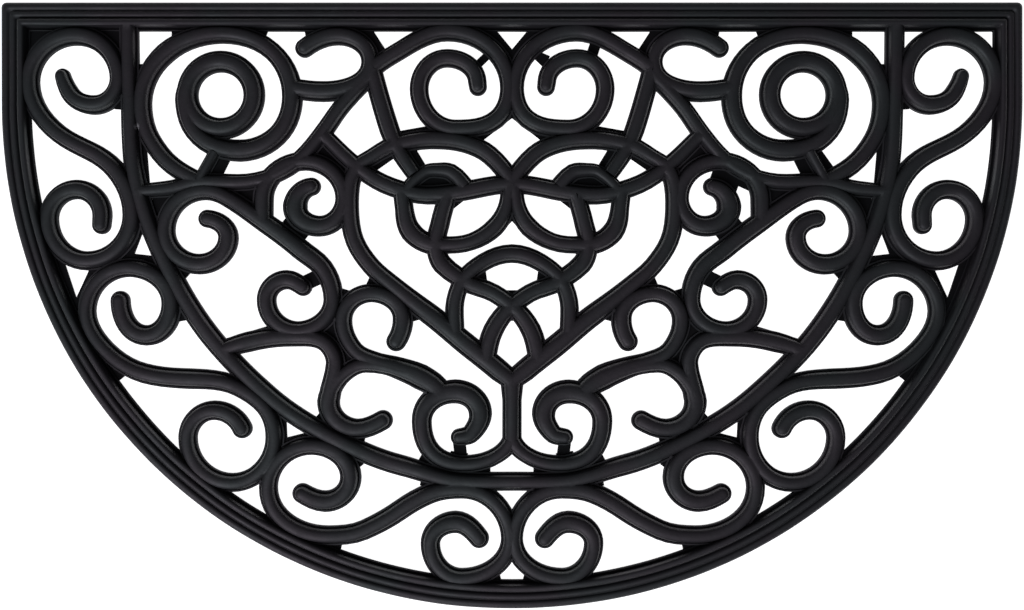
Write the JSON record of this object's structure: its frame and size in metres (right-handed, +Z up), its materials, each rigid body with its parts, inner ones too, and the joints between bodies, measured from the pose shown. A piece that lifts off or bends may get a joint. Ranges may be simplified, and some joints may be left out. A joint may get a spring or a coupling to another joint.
{
  "type": "rubber doormat",
  "caption": "Half-round openwork doormat of moulded black rubber, with a ridged rim around scrolls and crossing straps in a wrought-iron style.",
  "frame": {"origin": "middle of the mat's bounding box, on the flat underside", "axes": "+X along the straight edge, +Y towards the straight edge, +Z up"},
  "size_m": [0.762, 0.4524, 0.01],
  "materials": {
    "black_rubber": "dull moulded rubber with a slight sheen"
  },
  "bodies": {
    "root": {"doormat": "black_rubber"}
  },
  "joints": []
}
